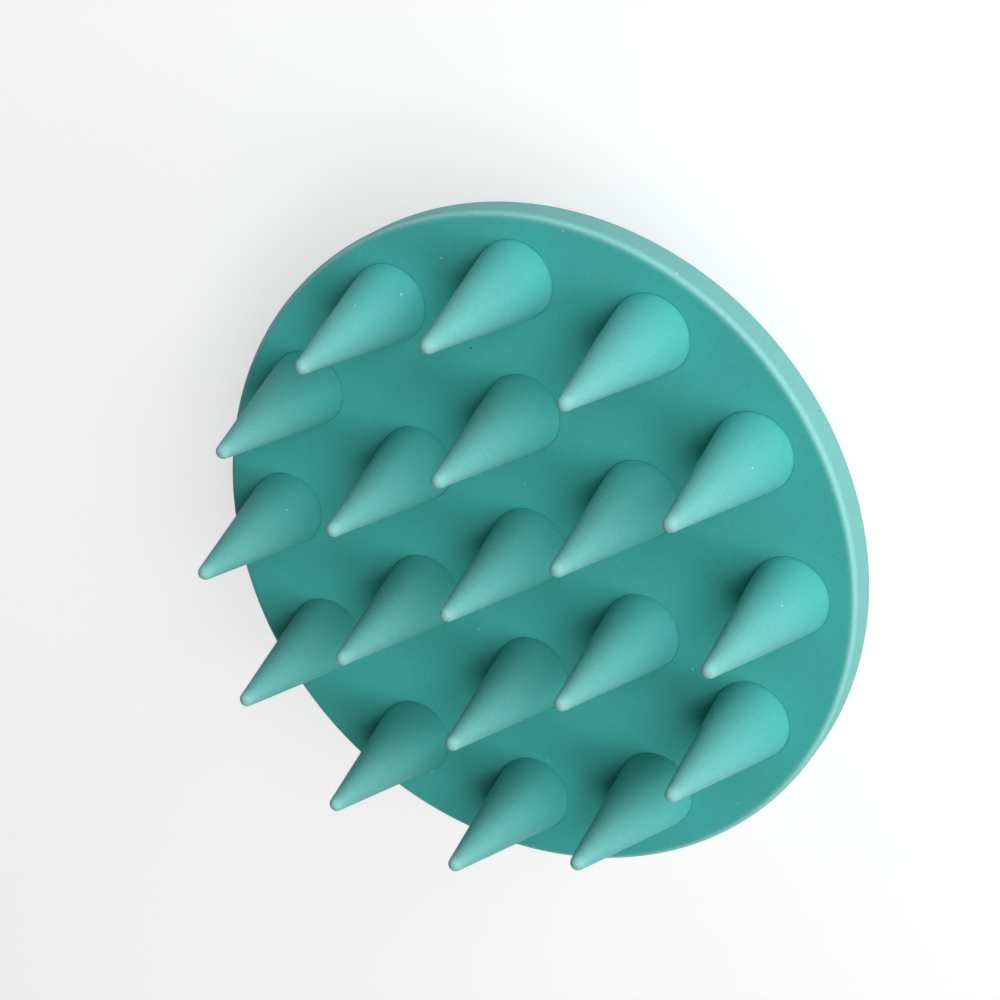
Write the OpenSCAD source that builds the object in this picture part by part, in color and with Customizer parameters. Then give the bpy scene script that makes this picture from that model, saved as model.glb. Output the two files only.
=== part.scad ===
// Round palm-held scalp massager brush: a dished soft pad with one centre tooth and two rings of
// cone teeth, stretched over a stiff base plate that closes a hollow palm grip. It stands on the
// flat crown of the grip with its teeth up. The origin is the middle of that crown, +Z is the
// axis of the brush, and one tooth of each ring lies on +X.

/* [Head] */
// Diameter of the round head over its rim
head_d = 80; // [73:0.5:96]
// Height of the rim's side, from its front edge to its back edge
rim_h = 4.5; // [3.8:0.1:6]
// Radius of the shallow dish that the toothed face follows
dish_r = 435; // [380:5:900]
// Rounding between the toothed face and the rim's side
front_round = 0.7; // [0.3:0.1:1]
// Rounding of the rim's back edge
back_round = 0.6; // [0.3:0.1:1.4]

/* [Tooth pad] */
// Thickness of the pad between the toothed face and the base plate
pad_t = 1.6; // [1.4:0.1:2.2]
// Thickness of the pad's side wall around the base plate
pad_wall = 1.8; // [1.5:0.1:2.2]
// Thickness of the lip that hooks behind the base plate
lip_t = 0.85; // [0.6:0.05:1.2]

/* [Teeth] */
// Number of teeth in the inner ring
inner_n = 6; // [3:1:8]
// Number of teeth in the outer ring
outer_n = 12; // [6:1:16]
// Distance of the inner ring of teeth from the axis
inner_ring_r = 16.4; // [14:0.2:18]
// Distance from the rim's side in to the middles of the outer ring of teeth
outer_margin = 7.8; // [7.5:0.1:10]
// Diameter of a tooth where it leaves the face
tooth_d = 9.3; // [7:0.1:9.8]
// Length of a tooth from the face to the end of its tip
tooth_len = 20.3; // [14:0.1:26]
// Diameter of a tooth's rounded tip
tip_d = 1.7; // [1:0.1:3]
// Depth of the socket that a tooth's foot sits in
socket_depth = 0.4; // [0.2:0.1:0.8]
// Diameter of the shank that passes through the pad
shank_d = 4.4; // [3:0.1:5]
// Diameter of the button behind the pad that keeps a tooth in
button_d = 7.2; // [6:0.1:7.6]
// Thickness of that button
button_t = 0.7; // [0.4:0.1:0.8]

/* [Base plate] */
// Height of the boss under the plate that centres it in the grip
boss_h = 2; // [1.8:0.1:4]
// Depth of plate left open under each button
button_play = 0.1; // [0.05:0.05:0.2]

/* [Palm grip] */
// Width of the ledge behind the rim that fingertips hook under
finger_ledge = 3.2; // [2.8:0.1:5]
// Height of the grip from its crown to the base plate
grip_h = 21.2; // [17:0.2:26]
// Height of the straight neck between the dome and the base plate
neck_h = 1.2; // [1:0.1:3]
// Diameter at which the dome would meet the flat crown, before that edge is rounded
crown_d = 26; // [18:1:36]
// Rounding between the dome and the crown
crown_round = 8; // [1:0.5:15]
// Wall of the dome
grip_wall = 2.4; // [1.6:0.1:3]
// Thickness of the flat crown
crown_t = 2.2; // [1.6:0.1:3]

/* [Fits] */
// Gap around a tooth's foot in its socket, seen as a fine dark line
foot_gap = 0.08; // [0.05:0.01:0.2]
// Gap around a shank in the pad, around the neck in the lip and around the boss in the grip
fit_gap = 0.1; // [0.05:0.05:0.2]
// Gap around a button in its pocket, and under the boss inside the grip
pocket_gap = 0.3; // [0.2:0.05:0.4]

/* [Hidden] */

$fn = 96;
face_segments = 14;
round_segments = 6;
cut = 1;

head_r = head_d / 2;
tooth_r = tooth_d / 2;
tip_r = tip_d / 2;
shank_r = shank_d / 2;
button_r = button_d / 2;
outer_ring_r = head_r - outer_margin;
grip_r = head_r - finger_ledge;
crown_r = crown_d / 2;

// Heights: the grip's top edge carries the plate, and the lip lies just behind it
seat_z = grip_h;
back_z = seat_z - lip_t;
rim_z = back_z + rim_h;

// The dish is a sphere whose centre lies far above the face
dish_cz = rim_z + sqrt(dish_r ^ 2 - head_r ^ 2);
back_dish_r = dish_r + pad_t;

// Centre of the front rounding, which touches both the dish and the rim's side
front_cx = head_r - front_round;
front_cz = dish_cz - sqrt((dish_r + front_round) ^ 2 - front_cx ^ 2);
front_tilt = asin(front_cx / (dish_r + front_round));

plate_r = head_r - pad_wall;
plate_tilt = asin(plate_r / back_dish_r);
bore_r = grip_r - grip_wall;
boss_r = bore_r - fit_gap;
boss_z = seat_z - boss_h;

// The dome is a sphere through the neck's lower edge and the crown's unrounded edge
dome_h = grip_h - neck_h;
dome_cz = (grip_r ^ 2 + dome_h ^ 2 - crown_r ^ 2) / (2 * dome_h);
dome_r = norm([crown_r, dome_cz]);
hollow_r = dome_r - grip_wall;
ledge_z = boss_z - pocket_gap;

// The flat that is left inside the rounding, which touches both the dome and the crown's plane
flat_r = sqrt((dome_r - crown_round) ^ 2 - (dome_cz - crown_round) ^ 2);
crown_lean = -acos(flat_r / (dome_r - crown_round));

// The cone leaves the foot and runs tangent into the round tip
tip_cz = tooth_len - tip_r;
cone_lean = atan(tooth_r / tip_cz) - asin(tip_r / norm([tooth_r, tip_cz]));

// Points along an arc about [0, cz] or [cx, cz], in degrees up from the outward direction
function arc(cx, cz, r, from, to, steps) = [
    for (i = [0 : steps])
        let (a = from + (to - from) * i / steps)
        [cx + r * cos(a), cz + r * sin(a)]
];

// Points along the dish or its back, from one tilt off the axis to another
function dish_arc(r, from, to) = arc(0, dish_cz, r, from - 90, to - 90, face_segments);

// Puts a tooth's own frame on the face: origin on the surface, +Z straight out of it
module on_face(ring_r, turn) {
    rotate([0, 0, turn])
        translate([0, 0, dish_cz])
            rotate([0, -asin(ring_r / dish_r), 0])
                translate([0, 0, -dish_r])
                    children();
}

// Repeats its child at every tooth's place
module at_every_tooth() {
    on_face(0, 0) children();
    for (i = [0 : inner_n - 1]) on_face(inner_ring_r, i * 360 / inner_n) children();
    for (i = [0 : outer_n - 1]) on_face(outer_ring_r, i * 360 / outer_n) children();
}

// What a tooth's foot and shank take out of the pad
module socket_cut() {
    translate([0, 0, -socket_depth])
        cylinder(r = tooth_r + foot_gap, h = socket_depth + cut);
    translate([0, 0, -pad_t - cut])
        cylinder(r = shank_r + fit_gap, h = pad_t + cut);
}

// What a tooth's button takes out of the base plate
module button_cut() {
    translate([0, 0, -pad_t - button_t - button_play])
        cylinder(r = button_r + pocket_gap, h = button_t + button_play + cut);
}

// One soft cone tooth: button, shank, foot, straight cone and round tip, in one turned profile
module tooth() {
    rotate_extrude()
        polygon(concat(
            [
                [0, -pad_t - button_t],
                [button_r, -pad_t - button_t],
                [button_r, -pad_t],
                [shank_r, -pad_t],
                [shank_r, -socket_depth],
                [tooth_r, -socket_depth],
                [tooth_r, 0]
            ],
            arc(0, tip_cz, tip_r, cone_lean, 90, round_segments)
        ));
}

// Soft pad with the dished face, the rounded rim and the lip that hooks behind the plate
module tooth_pad() {
    color("#3F9F95")
    difference() {
        rotate_extrude()
            polygon(concat(
                dish_arc(dish_r, 0, front_tilt),
                arc(front_cx, front_cz, front_round, 90 + front_tilt, 0, round_segments),
                arc(head_r - back_round, back_z + back_round, back_round, 0, -90, round_segments),
                [
                    [grip_r + fit_gap, back_z],
                    [grip_r + fit_gap, seat_z],
                    [plate_r, seat_z]
                ],
                dish_arc(back_dish_r, plate_tilt, 0)
            ));
        at_every_tooth() socket_cut();
    }
}

// Stiff plate that backs the pad, with a pocket for each button and a boss that fits the grip
module base_plate() {
    color("#C9D6D3")
    difference() {
        rotate_extrude()
            polygon(concat(
                dish_arc(back_dish_r, 0, plate_tilt),
                [
                    [plate_r, seat_z],
                    [boss_r, seat_z],
                    [boss_r, boss_z],
                    [0, boss_z]
                ]
            ));
        at_every_tooth() button_cut();
    }
}

// Hollow dome that lies in the palm, with a flat crown and a bore for the plate's boss
module palm_grip() {
    color("#3F9F95")
    rotate_extrude()
        polygon(concat(
            [[0, crown_t], [0, 0]],
            arc(flat_r, crown_round, crown_round, -90, crown_lean, round_segments),
            arc(0, dome_cz, dome_r, crown_lean, -acos(grip_r / dome_r), face_segments),
            [
                [grip_r, seat_z],
                [bore_r, seat_z],
                [bore_r, ledge_z]
            ],
            arc(0, dome_cz, hollow_r, -asin((dome_cz - ledge_z) / hollow_r),
                -asin((dome_cz - crown_t) / hollow_r), face_segments)
        ));
}

module centre_tooth() {
    color("#6FC4B8")
    on_face(0, 0) tooth();
}

module inner_tooth(i) {
    color("#6FC4B8")
    on_face(inner_ring_r, (i - 1) * 360 / inner_n) tooth();
}

module outer_tooth(i) {
    color("#6FC4B8")
    on_face(outer_ring_r, (i - 1) * 360 / outer_n) tooth();
}

tooth_pad();
base_plate();
palm_grip();
centre_tooth();
for (i = [1 : inner_n])
    inner_tooth(i);
for (i = [1 : outer_n])
    outer_tooth(i);
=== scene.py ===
"""Looks of a round palm-held scalp massager brush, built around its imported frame.

The brush stands on the crown of its grip with its teeth up. The soft pad, the teeth and
the grip are remodelled here as smooth moulded silicone, and the base plate inside keeps
its own solid.
"""

import logging
import math
from dataclasses import dataclass, replace
from enum import Enum

import bmesh
import bpy
from mathutils import Matrix, Vector


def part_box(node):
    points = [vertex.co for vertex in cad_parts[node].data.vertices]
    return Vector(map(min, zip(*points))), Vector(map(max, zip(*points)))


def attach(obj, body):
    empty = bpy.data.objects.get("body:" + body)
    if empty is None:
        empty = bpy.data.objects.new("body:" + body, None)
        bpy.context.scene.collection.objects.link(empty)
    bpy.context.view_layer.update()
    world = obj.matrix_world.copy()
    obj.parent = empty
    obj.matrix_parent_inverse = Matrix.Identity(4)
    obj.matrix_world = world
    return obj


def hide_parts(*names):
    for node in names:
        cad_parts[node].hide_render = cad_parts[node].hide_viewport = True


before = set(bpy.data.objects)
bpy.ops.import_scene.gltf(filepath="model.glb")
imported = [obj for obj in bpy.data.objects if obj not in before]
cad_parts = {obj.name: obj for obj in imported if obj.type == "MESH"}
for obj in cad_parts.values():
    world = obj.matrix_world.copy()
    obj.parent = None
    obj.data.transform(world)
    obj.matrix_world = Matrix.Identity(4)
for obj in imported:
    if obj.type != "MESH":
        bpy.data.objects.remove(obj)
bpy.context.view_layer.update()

LOG = logging.getLogger("scalp_brush")
MM = 0.001

# Sharpest bend that is still shaded smooth, and how far broad faces set the shading
SMOOTH_ANGLE = math.radians(40)
BROAD_FACE_WEIGHT = 100

# Places of the colour sockets on a Mix node, whose names repeat
FIRST_COLOUR, SECOND_COLOUR, MIXED_COLOUR = 6, 7, 2

# Middle of a noise texture's range, and the detail of the skin's clouds and grain
NOISE_MIDDLE = 0.5
CLOUD_DETAIL = 4.0
GRAIN_DETAIL = 2.0

Outline = list[tuple[float, float]]
Colour = tuple[float, float, float]


def arc(
    centre: tuple[float, float], radius: float, start: float, end: float, steps: int
) -> Outline:
    """Points along an arc of an outline.

    Args:
        centre: Distance from the axis and height of the arc's centre.
        radius: Radius of the arc.
        start: First angle, in radians up from the outward direction.
        end: Last angle, in the same measure.
        steps: Number of straight steps.

    Returns:
        The arc's points, both ends included.
    """
    angles = [start + (end - start) * i / steps for i in range(steps + 1)]
    return [
        (centre[0] + radius * math.cos(a), centre[1] + radius * math.sin(a))
        for a in angles
    ]


def spread(start: tuple[float, float], end: tuple[float, float], steps: int) -> Outline:
    """Points along a straight stretch of an outline, from start to the one before end."""
    (x, z), (u, w) = start, end
    return [(x + (u - x) * i / steps, z + (w - z) * i / steps) for i in range(steps)]


def turned_mesh(name: str, outline: Outline, around: int) -> bpy.types.Mesh:
    """Turns a closed outline about the Z axis, as on a lathe.

    Args:
        name: Name of the mesh.
        outline: Points from the axis round to the axis again.
        around: Number of faces around the axis.

    Returns:
        A closed mesh whose faces point outwards.
    """
    shape = bmesh.new()
    poles = [shape.verts.new((0, 0, outline[i][1])) for i in (0, -1)]
    rings = [
        [
            shape.verts.new(
                (
                    radius * math.cos(math.tau * i / around),
                    radius * math.sin(math.tau * i / around),
                    height,
                )
            )
            for i in range(around)
        ]
        for radius, height in outline[1:-1]
    ]
    for i in range(around):
        j = (i + 1) % around
        shape.faces.new((poles[0], rings[0][i], rings[0][j]))
        shape.faces.new((poles[1], rings[-1][j], rings[-1][i]))
        for near, far in zip(rings, rings[1:]):
            shape.faces.new((near[i], far[i], far[j], near[j]))
    bmesh.ops.recalc_face_normals(shape, faces=shape.faces)
    mesh = bpy.data.meshes.new(name)
    shape.to_mesh(mesh)
    shape.free()
    return mesh


def new_object(name: str, data: bpy.types.ID) -> bpy.types.Object:
    """Links an object that holds a mesh, a lamp or a camera.

    Args:
        name: Name of the object.
        data: What it holds.

    Returns:
        The object, at the origin.
    """
    piece = bpy.data.objects.new(name, data)
    bpy.context.scene.collection.objects.link(piece)
    return piece


def grow(
    name: str,
    start: bpy.types.Mesh,
    tree: bpy.types.NodeTree,
    values: dict[str, object],
) -> bpy.types.Object:
    """Runs a Geometry Nodes tree once and keeps what it makes as a plain mesh.

    Args:
        name: Name of the piece.
        start: Mesh that goes into the tree.
        tree: Tree to run.
        values: Inputs of the tree by name.

    Returns:
        The piece, with no modifier left on it.
    """
    piece = new_object(name, start)
    modifier = piece.modifiers.new("shape", "NODES")
    modifier.node_group = tree
    for item in tree.interface.items_tree:
        if item.item_type == "SOCKET" and item.name in values:
            modifier[item.identifier] = values[item.name]
    depsgraph = bpy.context.evaluated_depsgraph_get()
    depsgraph.update()
    result = bpy.data.meshes.new_from_object(piece.evaluated_get(depsgraph))
    result.name = name
    piece.modifiers.clear()
    piece.data = result
    return piece


def smooth(piece: bpy.types.Object) -> None:
    """Shades a piece smooth, with its creases kept and its broad faces kept even.

    Args:
        piece: Mesh piece to shade.
    """
    piece.data.shade_smooth()
    piece.data.set_sharp_from_angle(angle=SMOOTH_ANGLE)
    modifier = piece.modifiers.new("even_normals", "WEIGHTED_NORMAL")
    modifier.keep_sharp = True
    modifier.weight = BROAD_FACE_WEIGHT


class Graph:
    """Adds and links the nodes of one tree."""

    def __init__(self, tree: bpy.types.NodeTree) -> None:
        """Keeps the tree that the nodes go into."""
        self.tree = tree

    def add(self, kind: str, **settings: object) -> bpy.types.Node:
        """Adds a node.

        Args:
            kind: Blender's name for the node's type.
            settings: Properties of the node to set.

        Returns:
            The new node.
        """
        node = self.tree.nodes.new(kind)
        for key, value in settings.items():
            setattr(node, key, value)
        return node

    def feed(self, socket: bpy.types.NodeSocket, value: object) -> None:
        """Links a socket into an input, or sets a plain value on it.

        Args:
            socket: Input to fill.
            value: An output socket, or a value.
        """
        if isinstance(value, bpy.types.NodeSocket):
            self.tree.links.new(value, socket)
        elif value is not None:
            socket.default_value = value

    def fill(self, node: bpy.types.Node, values: dict[str, object]) -> None:
        """Feeds several inputs of a node, each by its name."""
        for label, value in values.items():
            self.feed(node.inputs[label], value)

    def math(self, operation: str, *values: object) -> bpy.types.NodeSocket:
        """Adds a Math node.

        Args:
            operation: Name of the operation.
            values: Sockets or numbers for its inputs, in order.

        Returns:
            The node's output.
        """
        node = self.add("ShaderNodeMath", operation=operation)
        for socket, value in zip(node.inputs, values):
            self.feed(socket, value)
        return node.outputs[0]

    def blend(
        self, share: object, first: object, second: object
    ) -> bpy.types.NodeSocket:
        """Mixes two colours.

        Args:
            share: Share of the second colour, as a socket or a number.
            first: Colour, or a socket that carries one.
            second: Colour, or a socket that carries one.

        Returns:
            The mixed colour.
        """
        node = self.add("ShaderNodeMix", data_type="RGBA")
        self.feed(node.inputs["Factor"], share)
        self.feed(node.inputs[FIRST_COLOUR], first)
        self.feed(node.inputs[SECOND_COLOUR], second)
        return node.outputs[MIXED_COLOUR]

    def ramp(self, value: object, low: float, high: float) -> bpy.types.NodeSocket:
        """Turns a range of values into 0 to 1, smoothly and clamped.

        Args:
            value: Value to turn.
            low: Value that gives 0.
            high: Value that gives 1.

        Returns:
            The new value.
        """
        node = self.add("ShaderNodeMapRange", interpolation_type="SMOOTHSTEP")
        self.fill(node, {"Value": value, "From Min": low, "From Max": high})
        return node.outputs["Result"]

    def noise(self, place: object, scale: object, detail: float) -> bpy.types.NodeSocket:
        """Adds a noise texture.

        Args:
            place: Coordinates that it follows.
            scale: Scale of the noise, as a socket or a number.
            detail: Number of finer layers on top.

        Returns:
            The noise, from 0 to 1.
        """
        node = self.add("ShaderNodeTexNoise")
        self.fill(node, {"Vector": place, "Scale": scale, "Detail": detail})
        return node.outputs["Fac"]

    def paint(self, shape: object, finish: object) -> bpy.types.NodeSocket:
        """Puts a material on a shape.

        Args:
            shape: Geometry to paint.
            finish: Material, or a socket that carries one.

        Returns:
            The painted geometry.
        """
        node = self.add("GeometryNodeSetMaterial")
        self.fill(node, {"Geometry": shape, "Material": finish})
        return node.outputs[0]


def new_material(name: str) -> tuple[bpy.types.Material, Graph, bpy.types.Node]:
    """Starts a material.

    Args:
        name: Name of the material.

    Returns:
        The material, its graph and its Principled shader.
    """
    made = bpy.data.materials.new(name)
    made.use_nodes = True
    return made, Graph(made.node_tree), made.node_tree.nodes["Principled BSDF"]


def new_group(
    name: str,
    kind: str,
    inputs: dict[str, tuple[str, object]],
    outputs: dict[str, str],
) -> tuple[Graph, bpy.types.Node, bpy.types.Node]:
    """Starts a node group with named inputs and outputs.

    Args:
        name: Name of the group.
        kind: ShaderNodeTree or GeometryNodeTree.
        inputs: Type and default of each input.
        outputs: Type of each output.

    Returns:
        The group's graph, its input node and its output node.
    """
    tree = bpy.data.node_groups.new(name, kind)
    for label, (socket_type, default) in inputs.items():
        socket = tree.interface.new_socket(
            label, in_out="INPUT", socket_type=socket_type
        )
        if default is not None:
            socket.default_value = default
    for label, socket_type in outputs.items():
        tree.interface.new_socket(label, in_out="OUTPUT", socket_type=socket_type)
    graph = Graph(tree)
    return graph, graph.add("NodeGroupInput"), graph.add("NodeGroupOutput")


# Surface effects that several finishes share


def mould_skin_group() -> bpy.types.NodeTree:
    """Builds the group for the skin that a mould leaves on soft silicone.

    Returns:
        A group that puts out a colour, a roughness and a height.
    """
    graph, source, result = new_group(
        "mould_skin",
        "ShaderNodeTree",
        {
            "Place": ("NodeSocketVector", None),
            "Colour": ("NodeSocketColor", (0.5, 0.5, 0.5, 1)),
            "Cloudiness": ("NodeSocketFloat", 0.06),
            "Cloud Scale": ("NodeSocketFloat", 45.0),
            "Grain": ("NodeSocketFloat", 0.2),
            "Grain Scale": ("NodeSocketFloat", 2600.0),
            "Roughness": ("NodeSocketFloat", 0.5),
            "Roughness Change": ("NodeSocketFloat", 0.06),
        },
        {
            "Colour": "NodeSocketColor",
            "Roughness": "NodeSocketFloat",
            "Height": "NodeSocketFloat",
        },
    )
    place = source.outputs["Place"]
    cloud = graph.noise(place, source.outputs["Cloud Scale"], CLOUD_DETAIL)
    grain = graph.noise(place, source.outputs["Grain Scale"], GRAIN_DETAIL)
    swing = graph.math("SUBTRACT", cloud, NOISE_MIDDLE)
    tone = graph.math("MULTIPLY_ADD", swing, source.outputs["Cloudiness"], 1.0)
    speck = graph.math("SUBTRACT", grain, NOISE_MIDDLE)
    tone = graph.math("MULTIPLY_ADD", speck, source.outputs["Grain"], tone)
    shaded = graph.add("ShaderNodeVectorMath", operation="SCALE")
    graph.feed(shaded.inputs[0], source.outputs["Colour"])
    graph.feed(shaded.inputs["Scale"], tone)
    rough = graph.math(
        "MULTIPLY_ADD",
        swing,
        source.outputs["Roughness Change"],
        source.outputs["Roughness"],
    )
    graph.fill(
        result, {"Colour": shaded.outputs[0], "Roughness": rough, "Height": grain}
    )
    return graph.tree


def dust_group() -> bpy.types.NodeTree:
    """Builds the group for the few specks of lint and dirt that silicone picks up.

    Returns:
        A group that puts out the pale specks and the dark ones as masks.
    """
    graph, source, result = new_group(
        "lint_and_dirt",
        "ShaderNodeTree",
        {
            "Place": ("NodeSocketVector", None),
            "Cell Scale": ("NodeSocketFloat", 320.0),
            "Speck Size": ("NodeSocketFloat", 0.045),
            "Pale Share": ("NodeSocketFloat", 0.3),
            "Dark Share": ("NodeSocketFloat", 0.1),
        },
        {"Pale": "NodeSocketFloat", "Dark": "NodeSocketFloat"},
    )
    cells = graph.add("ShaderNodeTexVoronoi", feature="F1")
    graph.fill(
        cells, {"Vector": source.outputs["Place"], "Scale": source.outputs["Cell Scale"]}
    )
    lot = graph.add("ShaderNodeTexWhiteNoise")
    graph.feed(lot.inputs["Vector"], cells.outputs["Color"])
    pale = graph.math("LESS_THAN", lot.outputs["Value"], source.outputs["Pale Share"])
    rest = graph.math("SUBTRACT", 1.0, source.outputs["Dark Share"])
    dark = graph.math("GREATER_THAN", lot.outputs["Value"], rest)
    spot = graph.math(
        "LESS_THAN", cells.outputs["Distance"], source.outputs["Speck Size"]
    )
    for label, chosen in (("Pale", pale), ("Dark", dark)):
        graph.feed(result.inputs[label], graph.math("MULTIPLY", chosen, spot))
    return graph.tree


@dataclass(frozen=True)
class SiliconeFinish:
    """Matt soft-touch silicone in one moulded colour, with paler colours painted in as
    light, sheen and highlights.

    Attributes:
        name: Name of the material.
        colour: Colour of the silicone, as linear light.
        painted_light_colour: Colour painted in as light at a painted_light_share of a
            half: painted sheen on the rim's side, and painted light partway up a tooth.
        painted_highlight_colour: Colour of a painted highlight at a painted_light_share
            of 1: the line along the pad's front edge, and the teeth's tips.
        roughness: Roughness of the moulded surface.
        sheen: Strength of the pale bloom seen at a glancing angle.
        cloudiness: How much the tone drifts over the surface.
        lint_share: Share of the cells that carry a pale speck.
        dirt_share: Share of the cells that carry a dark speck.
        grain_depth: Depth of the mould's fine grain, in metres.
        depth: How far light travels inside the silicone, in metres.
        depth_share: Share of the light that enters it.
        depth_spread: Reach of red, green and blue light inside, as shares of the depth.
        lint_colour: Colour of a pale speck.
        lint_strength: How far a pale speck covers the silicone.
        dirt_colour: Colour of a dark speck.
        dirt_strength: How far a dark speck covers the silicone.
        ior: Refractive index of silicone.
        specular: Strength of the surface's mirror reflection.
        diffuse_roughness: How flat the surface looks under a lamp.
        sheen_roughness: Roughness of the bloom.
        sheen_tint: Colour of the bloom.
    """

    name: str
    colour: Colour
    painted_light_colour: Colour
    painted_highlight_colour: Colour
    roughness: float = 0.65
    sheen: float = 0.02
    cloudiness: float = 0.1
    lint_share: float = 0.3
    dirt_share: float = 0.1
    grain_depth: float = 0.02 * MM
    depth: float = 0.6 * MM
    depth_share: float = 0.3
    depth_spread: Colour = (0.35, 1.0, 0.95)
    lint_colour: Colour = (0.5, 0.68, 0.66)
    lint_strength: float = 0.6
    dirt_colour: Colour = (0.01, 0.05, 0.05)
    dirt_strength: float = 0.7
    ior: float = 1.45
    specular: float = 0.2
    diffuse_roughness: float = 0.3
    sheen_roughness: float = 0.5
    sheen_tint: Colour = (0.9, 1.0, 1.0)

    def material(
        self, skin: bpy.types.NodeTree, dust: bpy.types.NodeTree
    ) -> bpy.types.Material:
        """Builds the material.

        Args:
            skin: The mould_skin group.
            dust: The lint_and_dirt group.

        Returns:
            The finished material.
        """
        made, graph, shader = new_material(self.name)
        place = graph.add("ShaderNodeTexCoord").outputs["Object"]
        # Share of painted light at each point, which blends in paler colours: painted
        # sheen and a painted highlight line on the pad's rim, and painted shade at a
        # tooth's foot rising to painted light at its tip
        painted_share = graph.add("ShaderNodeAttribute", attribute_name="painted_light_share").outputs["Fac"]
        base = graph.blend(
            graph.math("MULTIPLY", painted_share, 2.0), (*self.colour, 1), (*self.painted_light_colour, 1)
        )
        base = graph.blend(
            graph.math("MULTIPLY_ADD", painted_share, 2.0, -1.0), base, (*self.painted_highlight_colour, 1)
        )
        surface = graph.add("ShaderNodeGroup", node_tree=skin)
        graph.fill(
            surface,
            {
                "Place": place,
                "Colour": base,
                "Cloudiness": self.cloudiness,
                "Roughness": self.roughness,
            },
        )
        specks = graph.add("ShaderNodeGroup", node_tree=dust)
        graph.fill(
            specks,
            {
                "Place": place,
                "Pale Share": self.lint_share,
                "Dark Share": self.dirt_share,
            },
        )
        pale = graph.math("MULTIPLY", specks.outputs["Pale"], self.lint_strength)
        dark = graph.math("MULTIPLY", specks.outputs["Dark"], self.dirt_strength)
        dusted = graph.blend(pale, surface.outputs["Colour"], (*self.lint_colour, 1))
        dusted = graph.blend(dark, dusted, (*self.dirt_colour, 1))
        bump = graph.add("ShaderNodeBump")
        graph.fill(
            bump, {"Height": surface.outputs["Height"], "Distance": self.grain_depth}
        )
        graph.fill(
            shader,
            {
                "Base Color": dusted,
                "Roughness": surface.outputs["Roughness"],
                "Normal": bump.outputs["Normal"],
                "IOR": self.ior,
                "Specular IOR Level": self.specular,
                "Diffuse Roughness": self.diffuse_roughness,
                "Subsurface Weight": self.depth_share,
                "Subsurface Radius": self.depth_spread,
                "Subsurface Scale": self.depth,
                "Sheen Weight": self.sheen,
                "Sheen Roughness": self.sheen_roughness,
                "Sheen Tint": (*self.sheen_tint, 1),
            },
        )
        return made


@dataclass(frozen=True)
class PlasticFinish:
    """Satin moulded plastic of the plate inside.

    Attributes:
        name: Name of the material.
        colour: Colour of the plastic, as linear light.
        roughness: Roughness of the moulded surface.
    """

    name: str
    colour: Colour
    roughness: float = 0.4

    def material(self, skin: bpy.types.NodeTree) -> bpy.types.Material:
        """Builds the material.

        Args:
            skin: The mould_skin group.

        Returns:
            The finished material.
        """
        made, graph, shader = new_material(self.name)
        surface = graph.add("ShaderNodeGroup", node_tree=skin)
        graph.fill(
            surface,
            {
                "Place": graph.add("ShaderNodeTexCoord").outputs["Object"],
                "Colour": (*self.colour, 1),
                "Roughness": self.roughness,
            },
        )
        for socket, label in (("Base Color", "Colour"), ("Roughness", "Roughness")):
            graph.feed(shader.inputs[socket], surface.outputs[label])
        return made


# Shapes


@dataclass(frozen=True)
class Dish:
    """The shallow sphere that the toothed face follows.

    Attributes:
        radius: Radius of the sphere.
        middle: Height of the sphere's centre above the crown.
    """

    radius: float
    middle: float

    def outline(self, drop: float, start: float, end: float, steps: int) -> Outline:
        """Points along the dish, or along a surface at an even depth behind it.

        Args:
            drop: Depth behind the face.
            start: Distance from the axis of the first point.
            end: Distance from the axis of the last point.
            steps: Number of straight steps.

        Returns:
            The points, both ends included.
        """
        radius = self.radius + drop
        tilts = [math.asin(r / radius) - math.pi / 2 for r in (start, end)]
        return arc((0, self.middle), radius, tilts[0], tilts[1], steps)


class Ring(Enum):
    """The three sets of teeth."""

    CENTRE = "centre_tooth"
    INNER = "inner_tooth"
    OUTER = "outer_tooth"


@dataclass(frozen=True)
class RingPlan:
    """Where the teeth of one ring stand.

    Attributes:
        ring: Which set of teeth it is.
        count: Number of teeth.
        radius: Distance of their feet from the axis.
    """

    ring: Ring
    count: int
    radius: float


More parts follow.
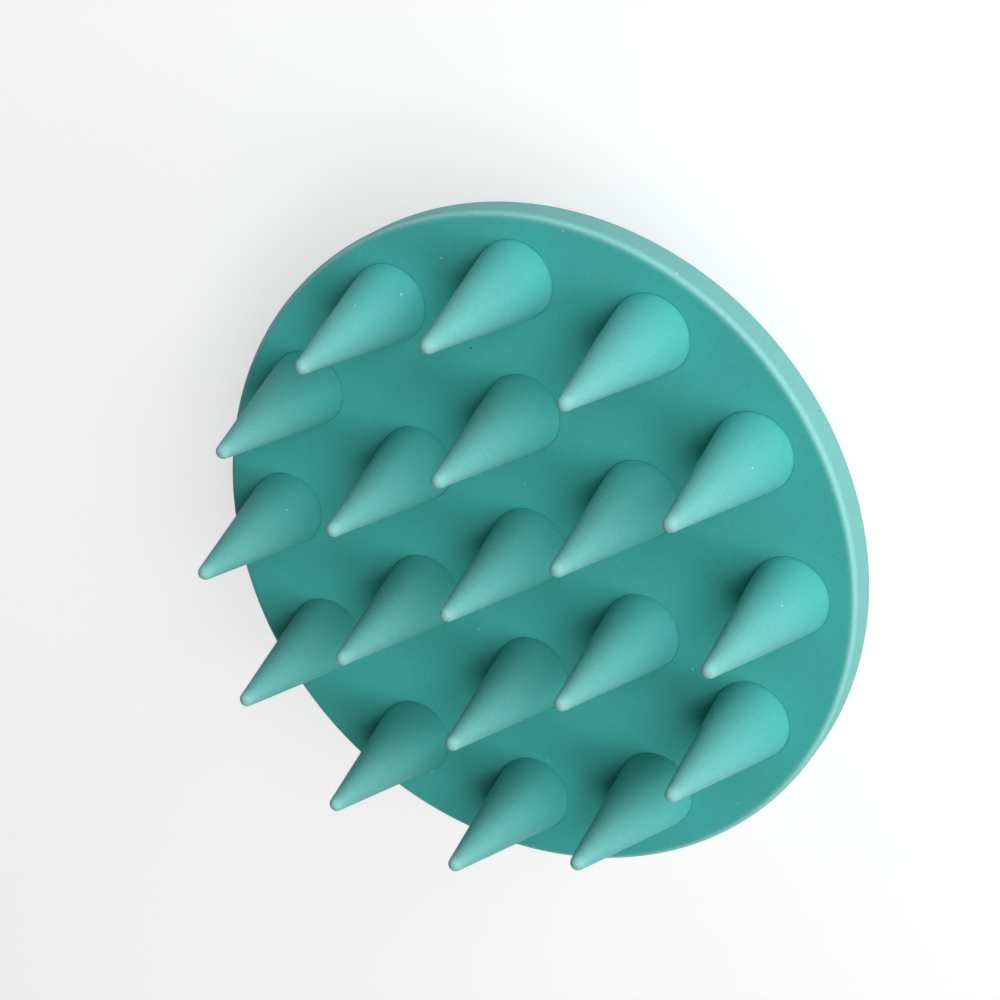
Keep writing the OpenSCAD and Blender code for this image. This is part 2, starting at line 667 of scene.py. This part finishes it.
def on_dish_group() -> bpy.types.NodeTree:
    """Builds the group that stands copies of a part on the dish, in one even ring.

    Returns:
        A Geometry Nodes group that puts out instances.
    """
    graph, source, result = new_group(
        "stand_on_dish",
        "GeometryNodeTree",
        {
            "Part": ("NodeSocketObject", None),
            "Count": ("NodeSocketInt", 1),
            "Ring Radius": ("NodeSocketFloat", 0.0),
            "Dish Radius": ("NodeSocketFloat", 1.0),
            "Dish Middle": ("NodeSocketFloat", 1.0),
        },
        {"Instances": "NodeSocketGeometry"},
    )
    ring = source.outputs["Ring Radius"]
    dish = source.outputs["Dish Radius"]
    middle = source.outputs["Dish Middle"]
    index = graph.add("GeometryNodeInputIndex").outputs[0]
    turn = graph.math(
        "MULTIPLY", graph.math("DIVIDE", index, source.outputs["Count"]), math.tau
    )
    sink = graph.math(
        "SQRT",
        graph.math(
            "SUBTRACT",
            graph.math("MULTIPLY", dish, dish),
            graph.math("MULTIPLY", ring, ring),
        ),
    )
    foot = graph.add("ShaderNodeCombineXYZ")
    for axis, part_of_turn in (("X", "COSINE"), ("Y", "SINE")):
        along = graph.math("MULTIPLY", ring, graph.math(part_of_turn, turn))
        graph.feed(foot.inputs[axis], along)
    graph.feed(foot.inputs["Z"], graph.math("SUBTRACT", middle, sink))
    points = graph.add("GeometryNodePoints")
    graph.fill(points, {"Count": source.outputs["Count"], "Position": foot.outputs[0]})
    centre = graph.add("ShaderNodeCombineXYZ")
    graph.feed(centre.inputs["Z"], middle)
    straight_out = graph.add("ShaderNodeVectorMath", operation="SUBTRACT")
    here = graph.add("GeometryNodeInputPosition").outputs[0]
    graph.feed(straight_out.inputs[0], centre.outputs[0])
    graph.feed(straight_out.inputs[1], here)
    lean = graph.add("FunctionNodeAlignRotationToVector", axis="Z")
    graph.feed(lean.inputs["Vector"], straight_out.outputs[0])
    part = graph.add("GeometryNodeObjectInfo", transform_space="ORIGINAL")
    graph.feed(part.inputs["Object"], source.outputs["Part"])
    copies = graph.add("GeometryNodeInstanceOnPoints")
    graph.fill(
        copies,
        {
            "Points": points.outputs[0],
            "Instance": part.outputs["Geometry"],
            "Rotation": lean.outputs[0],
        },
    )
    graph.feed(result.inputs["Instances"], copies.outputs[0])
    return graph.tree


def place_group_node(
    graph: Graph, group: bpy.types.NodeTree, source: bpy.types.Node, plan: RingPlan
) -> bpy.types.NodeSocket:
    """Places stand_on_dish in a tree whose inputs name the ring's sizes.

    Args:
        graph: Graph of the tree.
        group: The stand_on_dish group.
        source: Input node of the tree.
        plan: Ring whose inputs it reads.

    Returns:
        The instances.
    """
    node = graph.add("GeometryNodeGroup", node_tree=group)
    for label in ("Part", "Dish Radius", "Dish Middle"):
        graph.feed(node.inputs[label], source.outputs[label])
    graph.feed(node.inputs["Count"], source.outputs[f"{plan.ring.value} Count"])
    graph.feed(node.inputs["Ring Radius"], source.outputs[f"{plan.ring.value} Radius"])
    return node.outputs[0]


def ring_inputs(rings: tuple[RingPlan, ...]) -> dict[str, tuple[str, object]]:
    """Names the inputs of a tree that stands copies of a part on the dish.

    Args:
        rings: Rings that the tree fills.

    Returns:
        Type and default of each input.
    """
    inputs = {
        "Geometry": ("NodeSocketGeometry", None),
        "Part": ("NodeSocketObject", None),
    }
    for plan in rings:
        inputs[f"{plan.ring.value} Count"] = ("NodeSocketInt", 1)
        inputs[f"{plan.ring.value} Radius"] = ("NodeSocketFloat", 0.0)
    inputs["Dish Radius"] = ("NodeSocketFloat", 1.0)
    inputs["Dish Middle"] = ("NodeSocketFloat", 1.0)
    inputs["Finish"] = ("NodeSocketMaterial", None)
    return inputs


def ring_values(
    rings: tuple[RingPlan, ...],
    dish: Dish,
    part: bpy.types.Object,
    finish: bpy.types.Material,
) -> dict[str, object]:
    """Gives values for the inputs that ring_inputs names.

    Args:
        rings: Rings that the tree fills.
        dish: Surface that the copies stand on.
        part: What stands in the rings.
        finish: Material of what the tree makes.

    Returns:
        A value for each input but the geometry.
    """
    values = {
        "Part": part,
        "Dish Radius": dish.radius,
        "Dish Middle": dish.middle,
        "Finish": finish,
    }
    for plan in rings:
        values[f"{plan.ring.value} Count"] = plan.count
        values[f"{plan.ring.value} Radius"] = plan.radius
    return values


@dataclass
class ToothSet:
    """The soft cone teeth in their rings.

    Attributes:
        dish: Surface that they stand on.
        rings: Plan of each ring.
        foot_radius: Radius of a tooth where it leaves the face.
        length: Length from the face to the end of the tip.
        tip_radius: Radius of the round tip.
        socket_depth: How deep the foot sits in the face.
        foot_edge: Rounding of the foot's lower edge.
        tip_share: Share of the painted light that only the tip has.
        tip_sharpness: How closely that share keeps to the tip, as a power.
        around: Number of faces around a tooth.
        along: Number of steps along its cone.
        tip_steps: Number of steps over its tip.
        edge_steps: Number of steps around its foot's lower edge.
    """

    dish: Dish
    rings: tuple[RingPlan, ...]
    foot_radius: float = 4.65 * MM
    length: float = 20.3 * MM
    tip_radius: float = 0.85 * MM
    socket_depth: float = 0.4 * MM
    foot_edge: float = 0.15 * MM
    tip_share: float = 0.5
    tip_sharpness: int = 24
    around: int = 72
    along: int = 40
    tip_steps: int = 10
    edge_steps: int = 4

    def outline(self) -> Outline:
        """Outlines one tooth, which stands on its own origin.

        Returns:
            Points from the middle of the foot round to the tip.
        """
        tip_middle = self.length - self.tip_radius
        lean = math.atan(self.foot_radius / tip_middle) - math.asin(
            self.tip_radius / math.hypot(self.foot_radius, tip_middle)
        )
        shoulder = (self.foot_radius, 0.0)
        tip = arc((0, tip_middle), self.tip_radius, lean, math.pi / 2, self.tip_steps)
        edge = arc(
            (self.foot_radius - self.foot_edge, self.foot_edge - self.socket_depth),
            self.foot_edge,
            -math.pi / 2,
            0,
            self.edge_steps,
        )
        return [
            (0, -self.socket_depth),
            *edge,
            *spread(shoulder, tip[0], self.along),
            *tip[:-1],
            (0, self.length),
        ]

    def one_tooth(self) -> bpy.types.Object:
        """Builds the tooth that the rings repeat, with its share of painted light at each
        point.

        Returns:
            An object that only the rings use.
        """
        mesh = turned_mesh("tooth_form", self.outline(), self.around)
        # Painted shade and light along each tooth: its own darker colour at the foot,
        # painted paler up to its tip
        painted_light_share = mesh.attributes.new("painted_light_share", "FLOAT", "POINT")
        for vertex, value in zip(mesh.vertices, painted_light_share.data):
            along = max(0.0, vertex.co.z / self.length)
            tip = self.tip_share * along**self.tip_sharpness
            value.value = (1 - self.tip_share) * along + tip
        return new_object("tooth_form", mesh)

    def tree(self, stand: bpy.types.NodeTree, plan: RingPlan) -> bpy.types.NodeTree:
        """Builds the tree that makes one ring of teeth.

        Args:
            stand: The stand_on_dish group.
            plan: Ring that the tree makes.

        Returns:
            The Geometry Nodes tree.
        """
        graph, source, result = new_group(
            f"{plan.ring.value}_ring",
            "GeometryNodeTree",
            ring_inputs((plan,)),
            {"Geometry": "NodeSocketGeometry"},
        )
        real = graph.add("GeometryNodeRealizeInstances")
        graph.feed(real.inputs[0], place_group_node(graph, stand, source, plan))
        painted = graph.paint(real.outputs[0], source.outputs["Finish"])
        graph.feed(result.inputs[0], painted)
        return graph.tree

    def build(
        self, stand: bpy.types.NodeTree, finish: bpy.types.Material
    ) -> list[bpy.types.Object]:
        """Makes every ring of teeth and puts it in place of its nodes.

        Args:
            stand: The stand_on_dish group.
            finish: Material of the teeth.

        Returns:
            One piece for each ring.
        """
        tooth = self.one_tooth()
        made = []
        for plan in self.rings:
            label = plan.ring.value
            piece = grow(
                f"{label}_silicone",
                bpy.data.meshes.new(label),
                self.tree(stand, plan),
                ring_values((plan,), self.dish, tooth, finish),
            )
            smooth(piece)
            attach(piece, "root")
            nodes = [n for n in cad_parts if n.startswith(label)]
            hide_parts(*nodes)
            made.append(piece)
        bpy.data.objects.remove(tooth)
        return made


@dataclass
class ToothPad:
    """The soft pad: dished face with a socket for each tooth, round rim and hooked lip.

    Attributes:
        dish: Surface of the face.
        teeth: The teeth that sit in it.
        radius: Radius over the rim.
        rim_height: Height of the rim's side, edge to edge.
        back: Height of the rim's back edge above the crown.
        seat: Height of the lip's front face, where the plate ends.
        thickness: Thickness behind the face.
        wall: Thickness of the side wall around the plate.
        neck_radius: Radius of the opening for the grip's neck.
        front_round: Rounding between the face and the rim's side.
        back_round: Rounding of the rim's back edge.
        foot_gap: Gap around a tooth's foot.
        foot_play: Gap under a tooth's foot.
        socket_lip: Rounding of a socket's mouth.
        cutter_rise: How far the form that cuts a socket stands above the face.
        underside: Height above the back edge up to which a point counts as under the lip.
        side_painted_sheen: Share of painted sheen on the rim's side, which paints it
            paler.
        painted_highlight_line: What the painted highlight line along the front edge adds
            to it.
        line_shift: Where that line lies on the rounding, as a power; less moves it in.
        face_end: Distance inside the rounding at which the face's broad steps end.
        fringe_start: Distance inside the rounding at which its fine steps start.
        around: Number of faces around the pad.
        face_steps: Number of broad steps along the face.
        fringe_steps: Number of fine steps next to the rounding.
        round_steps: Number of steps over each rounding, and along the pad's back.
        lip_steps: Number of steps over a socket's mouth.
    """

    dish: Dish
    teeth: ToothSet
    radius: float
    rim_height: float
    back: float
    seat: float
    neck_radius: float
    thickness: float = 1.6 * MM
    wall: float = 1.8 * MM
    front_round: float = 0.9 * MM
    back_round: float = 0.6 * MM
    foot_gap: float = 0.01 * MM
    foot_play: float = 0.02 * MM
    socket_lip: float = 0.06 * MM
    cutter_rise: float = 1.0 * MM
    underside: float = 0.01 * MM
    side_painted_sheen: float = 0.5
    painted_highlight_line: float = 0.65
    line_shift: float = 0.85
    face_end: float = 1.0 * MM
    fringe_start: float = 0.8 * MM
    around: int = 256
    face_steps: int = 48
    fringe_steps: int = 4
    round_steps: int = 12
    lip_steps: int = 5

    def outline(self) -> Outline:
        """Outlines the pad.

        Returns:
            Points from the middle of the face round to the middle of the back.
        """
        front_x = self.radius - self.front_round
        reach = self.dish.radius + self.front_round
        tilt = math.asin(front_x / reach)
        front_z = self.dish.middle - reach * math.cos(tilt)
        edge_x = self.dish.radius * math.sin(tilt)
        plate = self.radius - self.wall
        return [
            *self.dish.outline(0, 0, edge_x - self.face_end, self.face_steps),
            *self.dish.outline(
                0, edge_x - self.fringe_start, edge_x, self.fringe_steps
            ),
            *arc(
                (front_x, front_z),
                self.front_round,
                math.pi / 2 + tilt,
                0,
                self.round_steps,
            )[1:],
            *arc(
                (self.radius - self.back_round, self.back + self.back_round),
                self.back_round,
                0,
                -math.pi / 2,
                self.round_steps,
            ),
            (self.neck_radius, self.back),
            (self.neck_radius, self.seat),
            (plate, self.seat),
            *self.dish.outline(self.thickness, plate, 0, self.round_steps),
        ]

    def rim_painted_light(self, point: Vector) -> float:
        """Says how much painted light a point of the pad gets: painted sheen and a
        painted highlight line.

        Args:
            point: Point on the pad.

        Returns:
            0 on the face and under the lip, a half of painted sheen on the rim's side,
            and up to about 0.9 along its front edge, where the painted highlight line
            runs.
        """
        out = math.hypot(point.x, point.y)
        front_x = self.radius - self.front_round
        front_z = self.back + self.rim_height - self.front_round
        if out < front_x or point.z < self.back + self.underside:
            return 0.0
        if point.z > front_z and out > front_x:
            tilt = math.atan2(out - front_x, point.z - front_z) / (math.pi / 2)
            # A painted highlight: a pale line along the front edge's rounding, painted
            # into its colour
            line = math.sin(math.pi * tilt**self.line_shift) ** 2
            return self.side_painted_sheen * tilt + self.painted_highlight_line * line
        return self.side_painted_sheen

    def socket_form(self) -> bpy.types.Object:
        """Builds the form that cuts one socket, with a softly rounded mouth.

        Returns:
            An object that only the cut uses.
        """
        radius = self.teeth.foot_radius + self.foot_gap
        mouth = arc(
            (radius + self.socket_lip, -self.socket_lip),
            self.socket_lip,
            math.pi,
            math.pi / 2,
            self.lip_steps,
        )
        floor = -self.teeth.socket_depth - self.foot_play
        above = self.cutter_rise
        outline = [(0, floor), (radius, floor), *mouth, (mouth[-1][0], above), (0, above)]
        mesh = turned_mesh("socket_form", outline, self.teeth.around)
        return new_object("socket_form", mesh)

    def tree(self, stand: bpy.types.NodeTree) -> bpy.types.NodeTree:
        """Builds the tree that cuts a socket into the pad for every tooth.

        Args:
            stand: The stand_on_dish group.

        Returns:
            The Geometry Nodes tree.
        """
        graph, source, result = new_group(
            "socketed_pad",
            "GeometryNodeTree",
            ring_inputs(self.teeth.rings),
            {"Geometry": "NodeSocketGeometry"},
        )
        forms = graph.add("GeometryNodeJoinGeometry")
        for plan in self.teeth.rings:
            graph.feed(forms.inputs[0], place_group_node(graph, stand, source, plan))
        real = graph.add("GeometryNodeRealizeInstances")
        graph.feed(real.inputs[0], forms.outputs[0])
        cut = graph.add("GeometryNodeMeshBoolean", operation="DIFFERENCE", solver="EXACT")
        graph.fill(
            cut, {"Mesh 1": source.outputs["Geometry"], "Mesh 2": real.outputs[0]}
        )
        painted = graph.paint(cut.outputs[0], source.outputs["Finish"])
        graph.feed(result.inputs[0], painted)
        return graph.tree

    def build(
        self, stand: bpy.types.NodeTree, finish: bpy.types.Material
    ) -> bpy.types.Object:
        """Makes the pad and puts it in place of its node.

        Args:
            stand: The stand_on_dish group.
            finish: Material of the pad.

        Returns:
            The pad.
        """
        form = self.socket_form()
        values = ring_values(self.teeth.rings, self.dish, form, finish)
        blank = turned_mesh("pad_blank", self.outline(), self.around)
        piece = grow("tooth_pad_silicone", blank, self.tree(stand), values)
        bpy.data.objects.remove(form)
        # Painted sheen on the rim's side and a painted highlight line along its front
        # edge, as shares of paler colour
        painted_light_share = piece.data.attributes.new("painted_light_share", "FLOAT", "POINT")
        for vertex, value in zip(piece.data.vertices, painted_light_share.data):
            value.value = self.rim_painted_light(vertex.co)
        smooth(piece)
        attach(piece, "root")
        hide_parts("tooth_pad")
        return piece


@dataclass
class PalmGrip:
    """The hollow dome that lies in the palm, with a flat crown.

    Attributes:
        radius: Radius of the neck.
        height: Height from the crown to the plate.
        neck: Height of the straight neck.
        crown_edge: Radius at which the dome would meet the crown unrounded.
        crown_round: Rounding between the dome and the crown.
        wall: Thickness of the dome.
        crown: Thickness of the crown.
        boss: Depth of the plate's boss inside, with its gap.
        around: Number of faces around the grip.
        inner_steps: Number of steps along the dome's inside.
        outer_steps: Number of steps along its outside.
        edge_steps: Number of steps over the crown's edge.
    """

    radius: float
    height: float
    neck: float = 1.2 * MM
    crown_edge: float = 13.0 * MM
    crown_round: float = 8.0 * MM
    wall: float = 2.4 * MM
    crown: float = 2.2 * MM
    boss: float = 2.3 * MM
    around: int = 192
    inner_steps: int = 32
    outer_steps: int = 56
    edge_steps: int = 10

    def outline(self) -> Outline:
        """Outlines the grip.

        Returns:
            Points from the middle of the crown's inside round to that of its outside.
        """
        rise = self.height - self.neck
        middle = (self.radius**2 + rise**2 - self.crown_edge**2) / (2 * rise)
        dome = math.hypot(self.crown_edge, middle)
        flat = math.sqrt(
            (dome - self.crown_round) ** 2 - (middle - self.crown_round) ** 2
        )
        lean = -math.acos(flat / (dome - self.crown_round))
        hollow = dome - self.wall
        ledge = self.height - self.boss
        bore = self.radius - self.wall
        return [
            (0, self.crown),
            *arc(
                (0, middle),
                hollow,
                -math.asin((middle - self.crown) / hollow),
                -math.asin((middle - ledge) / hollow),
                self.inner_steps,
            ),
            (bore, ledge),
            (bore, self.height),
            (self.radius, self.height),
            *arc(
                (0, middle), dome, -math.acos(self.radius / dome), lean, self.outer_steps
            ),
            *arc(
                (flat, self.crown_round),
                self.crown_round,
                lean,
                -math.pi / 2,
                self.edge_steps,
            )[1:],
            (0, 0),
        ]

    def build(self, finish: bpy.types.Material) -> bpy.types.Object:
        """Makes the grip and puts it in place of its node.

        Args:
            finish: Material of the grip.

        Returns:
            The grip.
        """
        piece = new_object(
            "palm_grip_shell",
            turned_mesh("palm_grip_shell", self.outline(), self.around),
        )
        piece.data.materials.append(finish)
        smooth(piece)
        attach(piece, "root")
        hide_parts("palm_grip")
        return piece


@dataclass
class BasePlate:
    """The stiff plate inside, which keeps its solid.

    Attributes:
        node: Name of its node.
    """

    node: str = "base_plate"

    def build(self, finish: bpy.types.Material) -> bpy.types.Object:
        """Gives the plate its finish.

        Args:
            finish: Material of the plate.

        Returns:
            The plate's own object.
        """
        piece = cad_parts[self.node]
        piece.data.materials.clear()
        piece.data.materials.append(finish)
        return piece


# Studio


@dataclass(frozen=True)
class SoftBox:
    """A soft studio lamp that faces the brush.

    Attributes:
        name: Name of the lamp.
        azimuth: Direction from the brush to the lamp, in degrees from +X.
        elevation: Its height above the horizon, in degrees.
        distance: Distance from the brush.
        width: Width of the lamp.
        height: Height of the lamp.
        power: Power in watts.
        colour: Colour of the light.
    """

    name: str
    azimuth: float
    elevation: float
    distance: float
    width: float
    height: float
    power: float
    colour: Colour = (1.0, 1.0, 1.0)

    def build(self, aim: Vector) -> None:
        """Hangs the lamp.

        Args:
            aim: Point that the lamp faces.
        """
        data = bpy.data.lights.new(self.name, "AREA")
        data.shape = "RECTANGLE"
        data.size = self.width
        data.size_y = self.height
        data.energy = self.power
        data.color = self.colour
        lamp = new_object(self.name, data)
        toward = direction(self.azimuth, self.elevation)
        lamp.location = aim + toward * self.distance
        lamp.rotation_euler = toward.to_track_quat("Z", "Y").to_euler()


def direction(azimuth: float, elevation: float) -> Vector:
    """Gives the unit vector of an azimuth from +X and an elevation, both in degrees."""
    a, e = math.radians(azimuth), math.radians(elevation)
    return Vector((math.cos(a) * math.cos(e), math.sin(a) * math.cos(e), math.sin(e)))


@dataclass(frozen=True)
class Viewpoint:
    """The camera at the photograph's viewing angle.

    Attributes:
        aim: Point of the face plane on the camera's axis, before the face's own height.
        azimuth: Direction from the brush to the camera, in degrees from +X.
        elevation: Its height above the horizon, in degrees.
        distance: Distance from the aim.
        roll: Turn of the camera about its own axis, in degrees.
        lens: Focal length in millimetres.
        sensor: Width of the sensor in millimetres.
        near: Distance in front of the camera that it starts to see at.
    """

    aim: tuple[float, float] = (5.62 * MM, -2.78 * MM)
    azimuth: float = -108.60
    elevation: float = 54.35
    distance: float = 242.5 * MM
    roll: float = -128.0
    lens: float = 75.93
    sensor: float = 36.0
    near: float = 10 * MM

    def build(self, face_height: float) -> None:
        """Sets up the camera.

        Args:
            face_height: Height of the middle of the face above the crown.
        """
        data = bpy.data.cameras.new("photo_view")
        data.lens = self.lens
        data.sensor_width = self.sensor
        data.clip_start = self.near
        camera = new_object("photo_view", data)
        back = direction(self.azimuth, self.elevation)
        level = back.to_track_quat("Z", "Y").to_matrix().to_4x4()
        place = Vector((*self.aim, face_height)) + back * self.distance
        turn = Matrix.Rotation(math.radians(self.roll), 4, "Z")
        camera.matrix_world = Matrix.Translation(place) @ level @ turn
        bpy.context.scene.camera = camera


def seen_directly(graph: Graph) -> bpy.types.NodeSocket:
    """Marks the rays that show a surface: from the camera, in mirrors, through glass.

    Args:
        graph: Graph of the material or the world.

    Returns:
        1 for those rays and 0 for the light that falls on the brush.
    """
    rays = graph.add("ShaderNodeLightPath").outputs
    seen = graph.math("MAXIMUM", rays["Is Camera Ray"], rays["Is Glossy Ray"])
    return graph.math("MAXIMUM", seen, rays["Is Transmission Ray"])


@dataclass(frozen=True)
class Studio:
    """Plain white floor, soft light and view transform.

    Attributes:
        floor_size: Width of the floor.
        floor_tone: Reflectance of the floor.
        floor_roughness: Roughness of the floor.
        floor_glow: Light that only the camera and mirrors see on the floor by the brush.
        glow_start: Distance from the brush at which that light starts to rise.
        glow_end: Distance from the brush at which it is white.
        lamps: The soft lamps.
    """

    floor_size: float = 6.0
    floor_tone: float = 0.5
    floor_roughness: float = 0.9
    floor_glow: float = 0.62
    glow_start: float = 200 * MM
    glow_end: float = 1200 * MM
    lamps: tuple[SoftBox, ...] = (
        SoftBox("top_box", -143.0, 55.0, 0.7, 0.45, 0.3, 2.5),
        SoftBox("front_box", -116.0, 39.0, 0.7, 0.3, 0.3, 1.1),
        SoftBox("side_box", -163.0, 25.0, 0.7, 0.4, 0.3, 1.1),
        SoftBox("rim_box", -112.0, 8.0, 0.7, 0.5, 0.3, 2.85),
        SoftBox("low_box", -62.0, 8.0, 0.7, 0.3, 0.3, 0.75, (0.6, 0.97, 1.0)),
    )

    def floor(self) -> None:
        """Lays the white floor that the brush stands on."""
        mesh = bpy.data.meshes.new("floor")
        half = self.floor_size / 2
        mesh.from_pydata(
            [(-half, -half, 0), (half, -half, 0), (half, half, 0), (-half, half, 0)],
            [],
            [(0, 1, 2, 3)],
        )
        made, graph, shader = new_material("white_floor")
        away = graph.add("ShaderNodeVectorMath", operation="LENGTH")
        graph.feed(away.inputs[0], graph.add("ShaderNodeTexCoord").outputs["Object"])
        far = graph.ramp(away.outputs["Value"], self.glow_start, self.glow_end)
        glow = graph.math("MULTIPLY_ADD", far, 1.0 - self.floor_glow, self.floor_glow)
        graph.fill(
            shader,
            {
                "Base Color": (*[self.floor_tone] * 3, 1),
                "Roughness": self.floor_roughness,
                "Specular IOR Level": 0.0,
                "Emission Color": (1, 1, 1, 1),
                "Emission Strength": graph.math("MULTIPLY", seen_directly(graph), glow),
            },
        )
        mesh.materials.append(made)
        plane = new_object("floor", mesh)

    def build(self, aim: Vector) -> None:
        """Lights the scene.

        Args:
            aim: Point that the lamps face.
        """
        scene = bpy.context.scene
        scene.view_settings.view_transform = "Standard"
        world = bpy.data.worlds.new("studio")
        world.use_nodes = True
        graph = Graph(world.node_tree)
        background = world.node_tree.nodes["Background"]
        graph.fill(
            background, {"Color": (1, 1, 1, 1), "Strength": seen_directly(graph)}
        )
        scene.world = world
        self.floor()
        for lamp in self.lamps:
            lamp.build(aim)


# Finishes of this brush

# The pad's paler colours are painted sheen on the rim's side and a painted highlight
# along its front edge
PAD_SILICONE = SiliconeFinish(
    name="teal_pad_silicone",
    colour=(0.065, 0.455, 0.415),
    painted_light_colour=(0.16, 0.43, 0.41),
    painted_highlight_colour=(0.28, 0.64, 0.61),
)
# The teeth are painted paler from foot to tip: painted shade at the foot, painted light
# at the tip
TOOTH_SILICONE = SiliconeFinish(
    name="teal_tooth_silicone",
    colour=(0.065, 0.415, 0.385),
    painted_light_colour=(0.165, 0.45, 0.43),
    painted_highlight_colour=(0.28, 0.56, 0.53),
    depth=0.8 * MM,
    depth_share=0.4,
)
GRIP_SILICONE = replace(PAD_SILICONE, name="teal_grip_silicone", roughness=0.68)
PLATE_PLASTIC = PlasticFinish(name="pale_plate_plastic", colour=(0.58, 0.67, 0.65))

# Sizes of this brush that the boxes of its nodes don't give

DISH_RADIUS = 435 * MM
RIM_HEIGHT = 4.5 * MM
INNER_COUNT = 6
INNER_RING_RADIUS = 16.4 * MM
OUTER_COUNT = 12
OUTER_MARGIN = 7.8 * MM
NECK_GAP = 0.1 * MM


def report(piece: bpy.types.Object) -> None:
    """Logs a finished piece and its number of faces."""
    LOG.info("%s: %d faces", piece.name, len(piece.data.polygons))


def main() -> None:
    """Builds the brush and the studio around it."""
    logging.basicConfig(level=logging.INFO, format="%(name)s: %(message)s")
    pad_low, pad_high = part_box("tooth_pad")
    grip_low, grip_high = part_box("palm_grip")
    head_radius = (pad_high.x - pad_low.x) / 2
    neck_radius = (grip_high.x - grip_low.x) / 2
    rim = pad_low.z + RIM_HEIGHT
    middle = rim + math.sqrt(DISH_RADIUS**2 - head_radius**2)
    dish = Dish(DISH_RADIUS, middle)
    rings = (
        RingPlan(Ring.CENTRE, 1, 0.0),
        RingPlan(Ring.INNER, INNER_COUNT, INNER_RING_RADIUS),
        RingPlan(Ring.OUTER, OUTER_COUNT, head_radius - OUTER_MARGIN),
    )
    skin, dust = mould_skin_group(), dust_group()
    stand = on_dish_group()
    teeth = ToothSet(dish, rings)
    for piece in teeth.build(stand, TOOTH_SILICONE.material(skin, dust)):
        report(piece)
    pad = ToothPad(
        dish=dish,
        teeth=teeth,
        radius=head_radius,
        rim_height=RIM_HEIGHT,
        back=pad_low.z,
        seat=grip_high.z,
        neck_radius=neck_radius + NECK_GAP,
    )
    report(pad.build(stand, PAD_SILICONE.material(skin, dust)))
    grip = PalmGrip(radius=neck_radius, height=grip_high.z - grip_low.z)
    report(grip.build(GRIP_SILICONE.material(skin, dust)))
    report(BasePlate().build(PLATE_PLASTIC.material(skin)))
    face_height = middle - DISH_RADIUS
    Viewpoint().build(face_height)
    Studio().build(Vector((0, 0, face_height)))


if __name__ == "__main__":
    main()
